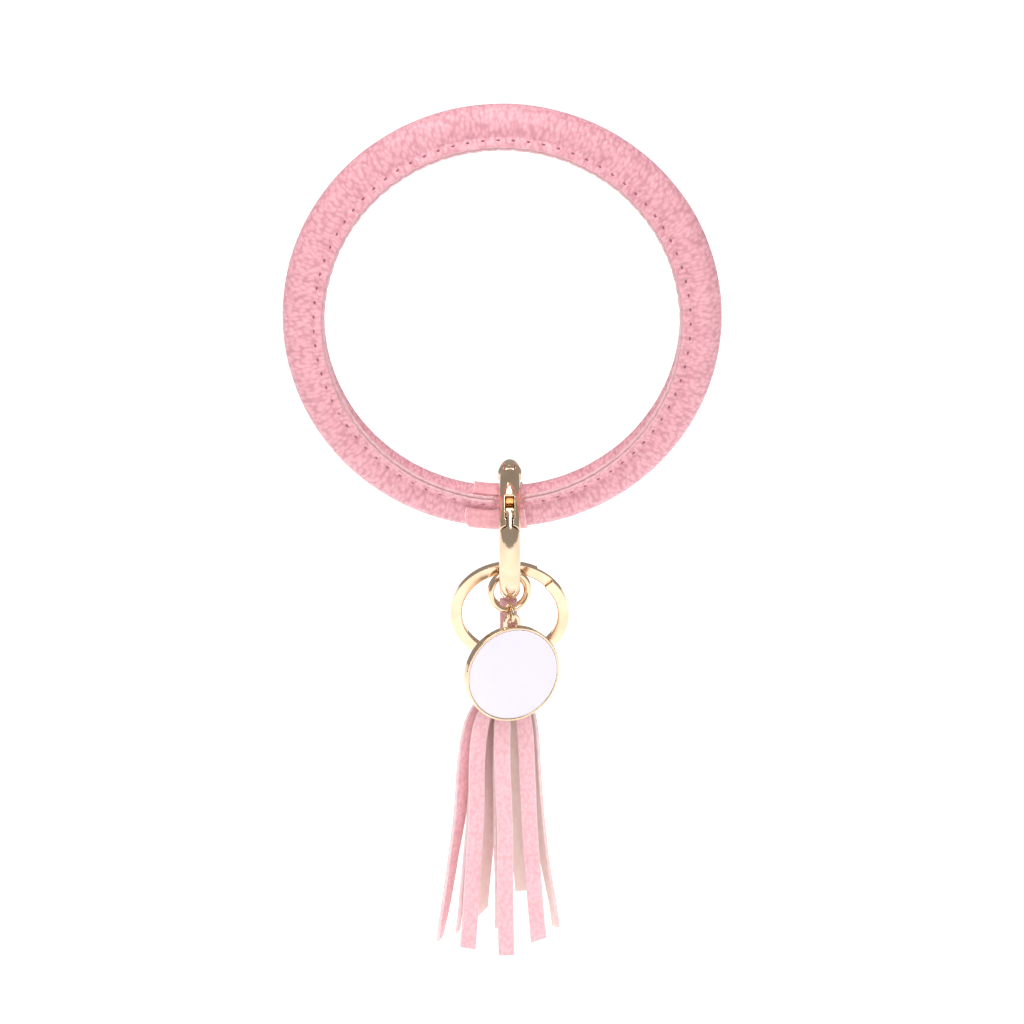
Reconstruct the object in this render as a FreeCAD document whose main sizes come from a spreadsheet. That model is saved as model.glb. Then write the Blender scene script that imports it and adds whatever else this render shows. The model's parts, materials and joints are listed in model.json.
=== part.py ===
"""Wristlet keychain: a leather bangle, a sprung gate ring, a split ring, an enamel disc and a leather tassel.

Millimetres. The origin is the centre of the bangle's opening. +X is to the right, +Z is up and the front faces
-Y. The bangle stands in the XZ plane, and everything else hangs below it as gravity leaves it.
"""
import FreeCAD, Part
import math
import os

import Sketcher

DIMENSIONS = [
    # the bangle, a leather tube closed to a ring
    ("bangle_radius", 41.6),
    ("tube_radius", 4.4),
    ("tube_bore", 3.5),
    ("core_radius", 3.45),
    ("core_bore", 2.0),
    ("plug_radius", 1.95),
    ("plug_turn", 22.0),
    ("core_turn", 359.4),
    # the stitched fin of the leather's two edges, on the tube's front inner side
    ("fin_root_angle", 62.0),
    ("fin_lean_angle", 42.0),
    ("fin_reach", 2.6),
    ("fin_half", 0.9),
    ("fin_stop_left", 1.6),
    ("fin_stop_right", 5.0),
    ("stitch_reach", 1.3),
    ("stitch_pitch", 3.1),
    ("stitch_length", 2.2),
    ("thread_radius", 0.2),
    # the band that closes the bangle's joint
    ("band_left", 6.8),
    ("band_right", 4.3),
    ("band_outside", 5.0),
    ("band_slit_turn", 36.0),
    # the sprung gate ring
    ("ring_shift", 1.6),
    ("ring_drop", 46.8),
    ("ring_radius", 12.75),
    ("wire_radius", 2.25),
    ("pin_angle", 85.0),
    ("pin_radius", 0.6),
    ("pin_half", 2.4),
    ("pin_bore", 0.65),
    ("knuckle_radius", 2.25),
    ("knuckle_half", 2.5),
    ("knuckle_round", 2.65),
    ("tongue_radius", 2.1),
    ("tongue_half", 1.0),
    ("fork_half", 1.15),
    ("fork_clear", 2.75),
    ("gate_reach", 14.45),
    ("shoulder_reach", 14.75),
    ("slot_start", 8.9),
    ("slot_floor", 11.4),
    ("slot_half", 0.95),
    ("throat_half", 0.7),
    ("throat_start", 13.3),
    ("nose_floor", 11.8),
    ("neck_half", 0.5),
    ("neck_sink", 0.2),
    ("head_half", 0.8),
    ("head_start", 11.8),
    ("head_end", 13.0),
    ("spring_bore", 0.85),
    ("spring_bore_end", 6.3),
    ("coil_wire", 0.13),
    ("coil_radius", 0.6),
    ("coil_pitch", 0.5),
    ("coil_tall", 3.0),
    # the split ring for keys
    ("split_outer", 12.7),
    ("split_band", 2.4),
    ("split_thick", 0.75),
    ("split_pitch", 0.79),
    ("split_turns", 1.95),
    ("split_tilt", 15.0),
    ("split_back", 1.5),
    ("split_play", 0.5),
    ("split_start", 62.0),
    # the two jump rings and the disc's small link
    ("tassel_jump_shift", 1.3),
    ("tassel_jump_radius", 3.85),
    ("jump_wire", 0.62),
    ("disc_jump_shift", 1.6),
    ("disc_jump_radius", 4.2),
    ("disc_jump_front", 5.3),
    ("disc_jump_turn", 20.0),
    ("disc_jump_play", 0.6),
    ("tassel_jump_front", 0.7),
    ("link_radius", 1.9),
    ("link_wire", 0.4),
    ("link_lean", 30.0),
    ("hang_play", 0.15),
    # the disc
    ("disc_radius", 10.6),
    ("disc_thick", 1.8),
    ("recess_radius", 10.0),
    ("recess_deep", 0.7),
    ("enamel_radius", 9.97),
    ("enamel_thick", 0.7),
    ("lug_radius", 1.95),
    ("lug_hole", 1.1),
    ("lug_thick", 0.6),
    ("lug_rise", 1.0),
    ("lug_drop", 0.05),
    # the tassel
    ("strap_width", 3.7),
    ("strap_thick", 0.7),
    ("strap_inner", 0.9),
    ("strap_lift", 0.5),
    ("strap_foot", 79.0),
    ("strap_room", 0.03),
    ("head_radius", 3.0),
    ("head_axis_front", 0.5),
    ("head_top", 70.6),
    ("head_foot", 81.0),
    ("collar_radius", 3.6),
    ("collar_top", 71.2),
    ("collar_foot", 79.4),
    ("strand_width", 3.5),
    ("strand_thick", 0.8),
    ("strand_sink", 1.0),
    ("shoulder_drop", 91.0),
    ("middle_drop", 115.0),
]

# One row for each strand of the fringe: its centre (x, y) in the collar, at the shoulder, at the middle
# and at the tip, the tip's height, and how far the strip is turned about the vertical at the shoulder
# and at the tip, in degrees.
STRANDS = [
    ((-0.2, -0.4), (-6.9, 0.5), (-9.5, 0.8), (-13.3, 1.2), -141.3, 42, 72),
    ((0.3, -1.6), (-5.0, -0.9), (-7.3, 0.1), (-9.9, 0.5), -140.3, 70, 82),
    ((0.5, -2.6), (-4.7, -3.1), (-5.8, -3.3), (-7.6, -3.5), -142.4, 8, 12),
    ((1.0, 1.0), (-1.7, 2.4), (-2.8, 2.6), (-4.4, 3.0), -136.5, 30, 52),
    ((1.3, -0.6), (-1.2, 0.4), (-1.3, 0.7), (-1.2, 1.0), -138.8, 74, 82),
    ((1.5, -2.9), (0.0, -3.6), (0.5, -3.8), (0.7, -4.0), -143.8, -2, -3),
    ((2.0, 0.8), (2.5, 1.4), (3.4, 1.9), (4.3, 2.5), -131.4, -24, -38),
    ((2.7, -2.1), (4.8, -2.3), (6.0, -2.7), (8.0, -3.2), -140.6, -9, -14),
    ((3.2, -0.6), (6.3, -0.2), (8.1, 0.0), (11.5, 0.2), -139.0, -52, -70),
    ((0.6, 0.4), (-4.4, 2.9), (-6.0, 3.7), (-8.0, 4.6), -136.0, 24, 34),
    ((2.7, 0.4), (4.9, 2.9), (6.0, 3.8), (7.0, 4.8), -135.0, -20, -30),
]

# A strand's width in the collar, at the shoulder, at the middle and at the tip, as a share of its full width.
STRAND_SHARES = (0.55, 1.0, 1.0, 1.0)

# Local x, y and z of a flat shape that faces the front, and of one that faces the left side.
FRONT_AXES = ((1, 0, 0), (0, 0, 1), (0, -1, 0))
SIDE_AXES = ((0, -1, 0), (0, 0, 1), (-1, 0, 0))
UPRIGHT = (0, 0, 1)
LEAST_VOLUME = 0.02

doc = FreeCAD.newDocument("WristletKeychain")
sheet = doc.addObject("Spreadsheet::Sheet", "Dimensions")
for row, (alias, value) in enumerate(DIMENSIONS, start=1):
    sheet.set(f"A{row}", alias)
    sheet.set(f"B{row}", str(value))
    sheet.setAlias(f"B{row}", alias)
doc.recompute()
nodes = []


def size(alias):
    """A driving dimension as a number."""
    return float(getattr(sheet, alias))


def cell(expression):
    """An expression of driving dimensions, with each name turned into a reference to its cell."""
    names = [alias for alias, _ in DIMENSIONS]
    return " ".join(f"Dimensions.{word}" if word in names else word for word in expression.split())


def placed(axes, place, turn=0.0, turn_axis=UPRIGHT):
    """The placement at place whose local axes run along the given ones, then turned about turn_axis."""
    columns = list(zip(*axes))
    matrix = FreeCAD.Matrix(*columns[0], 0, *columns[1], 0, *columns[2], 0)
    turned = FreeCAD.Rotation(FreeCAD.Vector(*turn_axis), turn)
    return FreeCAD.Placement(FreeCAD.Vector(*place), turned.multiply(FreeCAD.Placement(matrix).Rotation))


def bound(kind, name, **sizes):
    """A Part object with its sizes bound to the sheet."""
    made = doc.addObject(kind, name)
    for prop, expression in sizes.items():
        made.setExpression(prop, cell(expression))
    return made


def cut(name, base, tool):
    """base with tool taken out of it."""
    made = doc.addObject("Part::Cut", name)
    made.Base = base
    made.Tool = tool
    return made


def common(name, first, second):
    """The space that both objects fill."""
    made = doc.addObject("Part::Common", name)
    made.Base = first
    made.Tool = second
    return made


def fused(name, *parts):
    """Several objects joined to one."""
    made = doc.addObject("Part::MultiFuse", name)
    made.Shapes = list(parts)
    return made


def node(made, label, placement=None):
    """Marks a finished object as the sub-part with that name."""
    made.Label = label
    if placement is not None:
        made.Placement = placement
    nodes.append(made)
    return made


def sketch_in(body, role, name):
    """A sketch on the body's own origin plane with that role."""
    plane = next(feature for feature in body.Origin.OriginFeatures if feature.Role == role)
    sketch = body.newObject("Sketcher::SketchObject", name)
    sketch.AttachmentSupport = [(plane, "")]
    sketch.MapMode = "FlatFace"
    return sketch


def turned_ring(name, radii, turn=None):
    """A body that turns one circle, or two that bound a wall, about its local z axis from its local x."""
    body = doc.addObject("PartDesign::Body", name)
    sketch = sketch_in(body, "XZ_Plane", name + "_section")
    for radius in radii:
        centre = FreeCAD.Vector(size("bangle_radius"), 0, 0)
        circle = sketch.addGeometry(Part.Circle(centre, FreeCAD.Vector(0, 0, 1), size(radius)), False)
        sketch.addConstraint(Sketcher.Constraint("PointOnObject", circle, 3, -1))
        across = Sketcher.Constraint("DistanceX", -1, 1, circle, 3, size("bangle_radius"))
        sketch.setExpression(f"Constraints[{sketch.addConstraint(across)}]", cell("bangle_radius"))
        rounding = Sketcher.Constraint("Radius", circle, size(radius))
        sketch.setExpression(f"Constraints[{sketch.addConstraint(rounding)}]", cell(radius))
    doc.recompute()
    turning = body.newObject("PartDesign::Revolution", name + "_turn")
    turning.Profile = sketch
    turning.ReferenceAxis = (sketch, ["V_Axis"])
    turning.Angle = 360.0
    if turn is not None:
        turning.setExpression("Angle", cell(turn))
    body.Tip = turning
    return body


def polygon_ring(name, points, turn):
    """A body that turns a four-sided section about its local z axis by a number of degrees."""
    body = doc.addObject("PartDesign::Body", name)
    sketch = sketch_in(body, "XZ_Plane", name + "_section")
    for start, end in zip(points, points[1:] + points[:1]):
        sketch.addGeometry(Part.LineSegment(FreeCAD.Vector(*start, 0), FreeCAD.Vector(*end, 0)), False)
    for side in range(len(points)):
        sketch.addConstraint(Sketcher.Constraint("Coincident", side, 2, (side + 1) % len(points), 1))
    doc.recompute()
    turning = body.newObject("PartDesign::Revolution", name + "_turn")
    turning.Profile = sketch
    turning.ReferenceAxis = (sketch, ["V_Axis"])
    turning.Angle = turn
    body.Tip = turning
    return body


def bangle_angle(x):
    """The angle round the bangle, from +X towards the top, of the point at that x on its lowest stretch."""
    return -90.0 + math.degrees(math.asin(x / size("bangle_radius")))


def on_bangle(start_angle):
    """The bangle's frame, turned so that its local x axis points at that angle round it."""
    return placed(FRONT_AXES, (0, 0, 0), -start_angle, (0, 1, 0))


def fin_point(reach, lift):
    """A point (radius, depth) of the fin's section, at a reach from its root and off its middle by the lift."""
    root = math.radians(size("fin_root_angle"))
    lean = math.radians(size("fin_lean_angle"))
    middle = (size("tube_radius") + size("tube_bore")) / 2
    radius = size("bangle_radius") - middle * math.cos(root) - reach * math.cos(lean) + lift * math.sin(lean)
    depth = middle * math.sin(root) + reach * math.sin(lean) + lift * math.cos(lean)
    return radius, depth


def bangle():
    """The core tube and its plug, the leather round it with its fin, the stitches and the band."""
    half_plug = size("plug_turn") / 2
    node(turned_ring("core_tube", ["core_radius", "core_bore"], "core_turn"), "core_tube", on_bangle(-90.0))
    node(turned_ring("core_plug", ["plug_radius"], "plug_turn"), "core_plug", on_bangle(-90.0 - half_plug))

    half = size("fin_half")
    section = [fin_point(0, -half), fin_point(size("fin_reach"), -half), fin_point(size("fin_reach"), half)]
    section.append(fin_point(0, half))
    first = bangle_angle(size("fin_stop_right"))
    last = bangle_angle(-size("fin_stop_left")) + 360.0
    fin = polygon_ring("fin", section, last - first)
    fin.Placement = on_bangle(first)
    bore = bound("Part::Torus", "cover_bore", Radius1="bangle_radius", Radius2="tube_bore")
    bore.Placement = on_bangle(0.0)
    tube = turned_ring("cover_tube", ["tube_radius", "tube_bore"])
    tube.Placement = on_bangle(0.0)
    node(fused("leather_cover", tube, cut("fin_outside_bore", fin, bore)), "leather_cover")

    seam_thread(first, last)

    left = bangle_angle(-size("band_left"))
    turn = bangle_angle(size("band_right")) - left
    wide = math.radians(size("band_slit_turn") / 2)
    root = math.radians(size("fin_root_angle"))
    reach = 2 * size("band_outside")
    slit = [(size("bangle_radius"), 0.0)]
    for side in (root - wide, root + wide):
        slit.append((size("bangle_radius") - reach * math.cos(side), reach * math.sin(side)))
    slit_ring = polygon_ring("band_slit", slit, turn)
    band = turned_ring("band_wrap", ["band_outside", "tube_radius"])
    band.Tip.Angle = turn
    node(cut("joint_band", band, slit_ring), "joint_band", on_bangle(left))


def seam_thread(first, last):
    """A run of thread on each face of the fin for every stitch, lying along the seam."""
    lift = size("fin_half") + size("thread_radius") / 2
    runs = []
    faces = [fin_point(size("stitch_reach"), side * lift) for side in (-1, 1)]
    step = math.degrees(size("stitch_pitch") / faces[0][0])
    count = int((last - first) / step)
    margin = ((last - first) - count * step) / 2
    for index in range(count):
        angle = math.radians(first + margin + (index + 0.5) * step)
        outward = FreeCAD.Vector(math.cos(angle), 0, math.sin(angle))
        along = FreeCAD.Vector(-math.sin(angle), 0, math.cos(angle))
        for radius, depth in faces:
            centre = outward * radius + FreeCAD.Vector(0, -depth, 0)
            start = centre - along * (size("stitch_length") / 2)
            runs.append(Part.makeCylinder(size("thread_radius"), size("stitch_length"), start, along))
    thread = doc.addObject("Part::Feature", "seam_thread")
    thread.Shape = Part.makeCompound(runs)
    node(thread, "seam_thread")


# The gate ring lies in its own local XY plane: local x faces the front, local y is up, and local z faces -X.
PIN_PLACE = (
    size("ring_radius") * math.cos(math.radians(size("pin_angle"))),
    size("ring_radius") * math.sin(math.radians(size("pin_angle"))),
)
RING_FRAME = placed(SIDE_AXES, (size("ring_shift"), 0, -size("ring_drop")))


def wire_ring(name):
    """The closed ring of wire that the gate and the ring's body are cut from."""
    return bound("Part::Torus", name, Radius1="ring_radius", Radius2="wire_radius")


def about_pin(name, radius, half):
    """A disc about the gate's pin, half thick to each side of the ring's middle plane."""
    made = bound("Part::Cylinder", name, Radius=radius, Height=f"2 * {half}")
    made.Placement = FreeCAD.Placement(FreeCAD.Vector(*PIN_PLACE, -size(half)), FreeCAD.Rotation())
    return made


def ring_half(name, front):
    """A block over the half of the ring that lies before, or behind, the line from its centre to the pin."""
    reach = 2 * size("ring_radius")
    made = bound(
        "Part::Box", name, Length="2 * ring_radius", Width="4 * ring_radius", Height="4 * wire_radius")
    turn = FreeCAD.Rotation(FreeCAD.Vector(0, 0, 1), size("pin_angle") - 90.0)
    corner = FreeCAD.Vector(0 if front else -reach, -reach, -2 * size("wire_radius"))
    made.Placement = FreeCAD.Placement(turn.multVec(corner), turn)
    return made


def between_reaches(name, near, far, half):
    """The part of a disc about the pin that lies further from it than near."""
    return cut(name, about_pin(name + "_far", far, half), about_pin(name + "_near", near, "ring_radius"))


def outside_floor(name, made, floor):
    """What of an object lies outside a drum about the ring's centre."""
    drum = bound("Part::Cylinder", name + "_drum", Radius=floor, Height="4 * wire_radius")
    drum.Placement = FreeCAD.Placement(FreeCAD.Vector(0, 0, -2 * size("wire_radius")), FreeCAD.Rotation())
    return cut(name, made, drum)


def gate_ring():
    """The ring's body with its tongue and nose, the gate with its fork and slot, the pin and the spring."""
    back_wire = cut("back_wire", wire_ring("body_wire"), about_pin("cheek_room", "fork_clear", "ring_radius"))
    mouth = about_pin("mouth_disc", "shoulder_reach", "ring_radius")
    mouth = common("mouth", mouth, ring_half("mouth_half", True))
    arc = cut("body_arc", back_wire, mouth)
    root = common("tongue_root", wire_ring("tongue_wire"), ring_half("tongue_half_ring", False))
    root = common("tongue_slice", root, about_pin("tongue_slab", "2 * fork_clear", "tongue_half"))
    eye = about_pin("tongue_eye", "tongue_radius", "tongue_half")
    neck = common("neck_wire", wire_ring("neck_ring"), ring_half("neck_side", True))
    stretch = between_reaches("neck_reach", "head_start", "shoulder_reach + neck_sink", "neck_half")
    neck = common("neck", neck, stretch)
    neck = outside_floor("neck_above", neck, "nose_floor")
    head = common("head_wire", wire_ring("head_ring"), ring_half("head_side", True))
    head = common("head", head, between_reaches("head_reach", "head_start", "head_end", "head_half"))
    head = outside_floor("head_above", head, "nose_floor")
    whole = fused("ring_whole", arc, root, eye, neck, head)
    whole = cut("ring_body", whole, about_pin("tongue_hole", "pin_radius", "ring_radius"))
    node(whole, "ring_body", RING_FRAME)

    front = common("gate_front", wire_ring("gate_wire"), ring_half("gate_side", True))
    front = common("gate_arc", front, about_pin("gate_limit", "gate_reach", "ring_radius"))
    ball = bound("Part::Sphere", "knuckle_ball", Radius="knuckle_round")
    ball.Placement = FreeCAD.Placement(FreeCAD.Vector(*PIN_PLACE, 0), FreeCAD.Rotation())
    knuckle = common("knuckle", about_pin("knuckle_disc", "knuckle_radius", "knuckle_half"), ball)
    gate = fused("gate_blank", front, knuckle)
    gate = cut("gate_forked", gate, about_pin("fork_slot", "fork_clear", "fork_half"))
    pocket = between_reaches("pocket", "slot_start", "throat_start", "slot_half")
    throat = between_reaches("throat", "slot_start", "shoulder_reach", "throat_half")
    slot = outside_floor("latch_slot", fused("slot_plan", pocket, throat), "slot_floor")
    gate = cut("gate_slotted", gate, slot)
    gate = cut("gate_bored", gate, spring_rod("spring_bore_rod", "spring_bore", "spring_bore_end"))
    node(cut("gate", gate, about_pin("cheek_bore", "pin_bore", "ring_radius")), "gate", RING_FRAME)

    node(about_pin("gate_pin", "pin_radius", "pin_half"), "gate_pin", RING_FRAME.multiply(pin_frame()))
    gate_spring()


def pin_frame():
    """Where the pin stands in the ring's frame."""
    return FreeCAD.Placement(FreeCAD.Vector(*PIN_PLACE, -size("pin_half")), FreeCAD.Rotation())


def spring_axis():
    """The frame whose z axis runs from the pin along the gate's wire, in the ring's frame."""
    reach = (size("fork_clear") + size("spring_bore_end")) / 2
    turn = 2 * math.asin(reach / (2 * size("ring_radius")))
    angle = math.radians(size("pin_angle")) - turn
    target = (size("ring_radius") * math.cos(angle), size("ring_radius") * math.sin(angle))
    along = FreeCAD.Vector(target[0] - PIN_PLACE[0], target[1] - PIN_PLACE[1], 0)
    return FreeCAD.Placement(FreeCAD.Vector(*PIN_PLACE, 0), FreeCAD.Rotation(FreeCAD.Vector(0, 0, 1), along))


def spring_rod(name, radius, tall):
    """A rod along the gate's wire from the pin."""
    made = bound("Part::Cylinder", name, Radius=radius, Height=tall)
    made.Placement = spring_axis()
    return made


def rectangle(half_wide, half_tall, wide_axis, tall_axis):
    """The closed outline of a rectangle about the origin."""
    wide = FreeCAD.Vector(*wide_axis) * half_wide
    tall = FreeCAD.Vector(*tall_axis) * half_tall
    return Part.makePolygon([-wide - tall, wide - tall, wide + tall, -wide + tall, -wide - tall])


def coil(radius, pitch, tall, section, start):
    """A section swept along a helix about the local z axis that starts at local x = radius."""
    path = Part.makeHelix(pitch, tall, radius)
    sweep = Part.BRepOffsetAPI.MakePipeShell(Part.Wire(path.Edges))
    sweep.setFrenetMode(True)
    section.translate(start)
    sweep.add(section)
    sweep.build()
    sweep.makeSolid()
    return sweep.shape()


def gate_spring():
    """The small coil spring in the gate's bore, which pushes on the tongue and shuts the gate."""
    circle = Part.Circle(FreeCAD.Vector(0, 0, 0), FreeCAD.Vector(0, 1, 0), size("coil_wire"))
    start = FreeCAD.Vector(size("coil_radius"), 0, 0)
    section = Part.Wire(circle.toShape())
    shape = coil(size("coil_radius"), size("coil_pitch"), size("coil_tall"), section, start)
    made = doc.addObject("Part::Feature", "gate_spring")
    made.Shape = shape
    lift = FreeCAD.Placement(FreeCAD.Vector(0, 0, size("fork_clear") + size("coil_wire")), FreeCAD.Rotation())
    node(made, "gate_spring", RING_FRAME.multiply(spring_axis()).multiply(lift))


def wire_top(front):
    """The height of the gate ring's wire, on its upper side, at a distance in front of the ring's centre."""
    lean = math.asin(front / size("ring_radius"))
    return -size("ring_drop") - size("ring_radius") * math.cos(lean) + size("wire_radius") / math.cos(lean)


def split_ring():
    """A flat band wound nearly twice round, its lower side swung back."""
    inner = size("split_outer") - size("split_band")
    middle = size("split_outer") - size("split_band") / 2
    half_band = size("split_band") / 2
    half_thick = size("split_thick") / 2
    section = rectangle(half_band, half_thick, (1, 0, 0), (0, 0, 1))
    tall = size("split_pitch") * size("split_turns")
    shape = coil(middle, size("split_pitch"), tall, section, FreeCAD.Vector(middle, 0, 0))
    shape.translate(FreeCAD.Vector(0, 0, -tall / 2))
    made = doc.addObject("Part::Feature", "split_ring")
    made.Shape = shape
    tilt = math.radians(size("split_tilt"))
    top = wire_top(-size("split_back")) + size("split_play")
    centre_y = size("split_back") + inner * math.sin(tilt)
    centre = (size("ring_shift"), centre_y, top - inner * math.cos(tilt))
    node(made, "split_ring", split_frame(centre))


def split_frame(centre):
    """The split ring's frame: its wire ends are near the top, to the right of the gate ring."""
    upright = placed(FRONT_AXES, centre, size("split_tilt"), (1, 0, 0))
    start = FreeCAD.Rotation(FreeCAD.Vector(0, 0, 1), size("split_start"))
    return upright.multiply(FreeCAD.Placement(FreeCAD.Vector(), start))


def jump_centre(charm, play):
    """The centre of a charm's jump ring, which hangs with some play on the gate ring's wire."""
    front = size(f"{charm}_jump_front")
    drop = size(f"{charm}_jump_radius") - size("jump_wire") - size(play)
    return FreeCAD.Vector(size(f"{charm}_jump_shift"), -front, wire_top(front) - drop)


def jump_foot(charm, play):
    """The lowest point of the middle of a jump ring's wire."""
    return jump_centre(charm, play) - FreeCAD.Vector(0, 0, size(f"{charm}_jump_radius"))


def jump_ring(charm, play, turn):
    """A charm's closed jump ring of round wire, turned about the vertical."""
    name = f"{charm}_jump_ring"
    made = bound("Part::Torus", name, Radius1=f"{charm}_jump_radius", Radius2="jump_wire")
    node(made, name, placed(FRONT_AXES, jump_centre(charm, play), turn))


def link_frame():
    """The link's frame: local y runs up the link, and local z along the jump ring's wire.

    The link leans, with its foot to the front.
    """
    turn = math.radians(size("disc_jump_turn"))
    lean = math.radians(size("link_lean"))
    along = FreeCAD.Vector(math.cos(turn), math.sin(turn), 0)
    ahead = FreeCAD.Vector(math.sin(turn), -math.cos(turn), 0)
    up = FreeCAD.Vector(0, 0, math.cos(lean)) - ahead * math.sin(lean)
    hook = jump_foot("disc", "disc_jump_play")
    drop = size("link_radius") - size("link_wire") - size("jump_wire") - size("hang_play")
    return placed((up.cross(along), up, along), hook - up * drop), up


def disc_place():
    """The disc's frame: its centre is straight below the link's lowest wire, and it faces along that wire."""
    frame, up = link_frame()
    wire = frame.Base - up * size("link_radius")
    drop = size("lug_drop") + size("lug_rise") + size("disc_radius")
    return placed(FRONT_AXES, wire - FreeCAD.Vector(0, 0, drop), size("disc_jump_turn"))


def disc():
    """The cast disc with its lug, and the enamel in its front."""
    frame = disc_place()
    plate = bound("Part::Cylinder", "disc_plate", Radius="disc_radius", Height="disc_thick")
    plate.Placement = FreeCAD.Placement(FreeCAD.Vector(0, 0, -size("disc_thick") / 2), FreeCAD.Rotation())
    lug_height = size("disc_radius") + size("lug_rise")
    lug_place = FreeCAD.Placement(FreeCAD.Vector(0, lug_height, -size("lug_thick") / 2), FreeCAD.Rotation())
    lug = bound("Part::Cylinder", "lug_round", Radius="lug_radius", Height="lug_thick")
    lug.Placement = lug_place
    foot = bound(
        "Part::Box", "lug_foot", Length="2 * lug_radius", Width="lug_radius + lug_rise", Height="lug_thick")
    foot_base = size("disc_radius") - size("lug_radius")
    corner = FreeCAD.Vector(-size("lug_radius"), foot_base, -size("lug_thick") / 2)
    foot.Placement = FreeCAD.Placement(corner, FreeCAD.Rotation())
    hole = bound("Part::Cylinder", "lug_hole_rod", Radius="lug_hole", Height="lug_thick")
    hole.Placement = lug_place
    recess = bound("Part::Cylinder", "recess", Radius="recess_radius", Height="recess_deep")
    floor = size("disc_thick") / 2 - size("recess_deep")
    recess.Placement = FreeCAD.Placement(FreeCAD.Vector(0, 0, floor), FreeCAD.Rotation())
    solid = fused("disc_solid", plate, lug, foot)
    solid = cut("disc_with_hole", solid, hole)
    node(cut("disc_plate_cast", solid, recess), "disc_bezel", frame)
    enamel = bound("Part::Cylinder", "enamel", Radius="enamel_radius", Height="enamel_thick")
    lift = FreeCAD.Placement(FreeCAD.Vector(0, 0, floor), FreeCAD.Rotation())
    node(enamel, "disc_enamel", frame.multiply(lift))


def strap_loop():
    """The leather strap over the tassel's jump ring: a bend and two legs that run down into the head."""
    bend = jump_foot("tassel", "hang_play") + FreeCAD.Vector(0, 0, size("strap_lift"))
    legs = bend.z + size("strap_foot")
    inner = size("strap_inner")
    outer = inner + size("strap_thick")
    body = doc.addObject("PartDesign::Body", "strap_loop")
    sketch = sketch_in(body, "XY_Plane", "strap_outline")
    flat = FreeCAD.Vector(0, 0, 1)
    for radius in (inner, outer):
        circle = Part.Circle(FreeCAD.Vector(0, 0, 0), flat, radius)
        sketch.addGeometry(Part.ArcOfCircle(circle, 0, math.pi), False)
    for side in (-1, 1):
        inside = FreeCAD.Vector(side * inner, 0, 0)
        outside = FreeCAD.Vector(side * outer, 0, 0)
        down = FreeCAD.Vector(0, -legs, 0)
        corners = (inside, inside + down, outside + down, outside)
        for start, end in zip(corners, corners[1:]):
            sketch.addGeometry(Part.LineSegment(start, end), False)
    doc.recompute()
    pad = body.newObject("PartDesign::Pad", "strap_pad")
    pad.Profile = sketch
    pad.setExpression("Length", cell("strap_width"))
    pad.Midplane = True
    body.Tip = pad
    node(body, "strap_loop", placed(SIDE_AXES, bend))
    return bend


def tassel():
    """The strap, the fringe with its rolled head and strands, and the collar round the head."""
    bend = strap_loop()
    axis = FreeCAD.Vector(bend.x, -size("head_axis_front"), 0)
    foot = FreeCAD.Vector(axis.x, axis.y, -size("head_foot"))
    roll = Part.makeCylinder(size("head_radius"), size("head_foot") - size("head_top"), foot)
    room = size("strap_room")
    wide = size("strap_width") + 2 * room
    thick = size("strap_thick") + 2 * room
    for side in (-1, 1):
        leg = bend.y + side * (size("strap_inner") + size("strap_thick") / 2)
        corner = FreeCAD.Vector(bend.x - wide / 2, leg - thick / 2, -size("strap_foot") - room)
        roll = roll.cut(Part.makeBox(wide, thick, size("strap_foot") - size("head_top") + 2 * room, corner))
    fringe = doc.addObject("Part::Feature", "fringe")
    fringe.Shape = roll.fuse([strand(*row) for row in STRANDS]).removeSplitter()
    node(fringe, "fringe")

    tall = "collar_foot - collar_top"
    collar = bound("Part::Cylinder", "collar_outside", Radius="collar_radius", Height=tall)
    bore = bound("Part::Cylinder", "collar_bore", Radius="head_radius", Height=tall)
    place = FreeCAD.Placement(FreeCAD.Vector(axis.x, axis.y, -size("collar_foot")), FreeCAD.Rotation())
    node(cut("collar", collar, bore), "collar", place)


def strand(collar, shoulder, middle, tip, tip_height, shoulder_turn, tip_turn):
    """One strip of the fringe, from the collar past the shoulder and the middle to its tip."""
    top = size("strand_sink") - size("head_foot")
    heights = (top, -size("shoulder_drop"), -size("middle_drop"), tip_height)
    middle_turn = (shoulder_turn + tip_turn) / 2
    turns = (shoulder_turn / 2, shoulder_turn, middle_turn, tip_turn)
    wires = []
    for centre, height, turn, share in zip((collar, shoulder, middle, tip), heights, turns, STRAND_SHARES):
        half_wide = share * size("strand_width") / 2
        outline = rectangle(half_wide, size("strand_thick") / 2, (1, 0, 0), (0, 1, 0))
        outline.Placement = FreeCAD.Placement(
            FreeCAD.Vector(*centre, height), FreeCAD.Rotation(FreeCAD.Vector(*UPRIGHT), turn))
        wires.append(outline)
    return Part.makeLoft(wires, True, True)


def check():
    """Stops if any object failed, or if a sub-part's shape is empty or broken."""
    doc.recompute()
    for made in doc.Objects:
        bad = [word for word in made.State if word in ("Invalid", "Error")]
        if bad:
            raise RuntimeError(f"{made.Name} is {bad}")
    for made in nodes:
        if made.Shape.isNull() or not made.Shape.isValid() or made.Shape.Volume < LEAST_VOLUME:
            raise RuntimeError(f"{made.Label} has no sound shape")


bangle()
gate_ring()
split_ring()
jump_ring("disc", "disc_jump_play", size("disc_jump_turn"))
jump_ring("tassel", "hang_play", 0.0)
link = bound("Part::Torus", "disc_link", Radius1="link_radius", Radius2="link_wire")
node(link, "disc_link", link_frame()[0])
disc()
tassel()
check()

os.makedirs("parts", exist_ok=True)
for made in nodes:
    made.Shape.exportStep(f"parts/{made.Label}.step")
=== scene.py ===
import json
import math

import bpy
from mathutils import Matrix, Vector, noise


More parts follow.
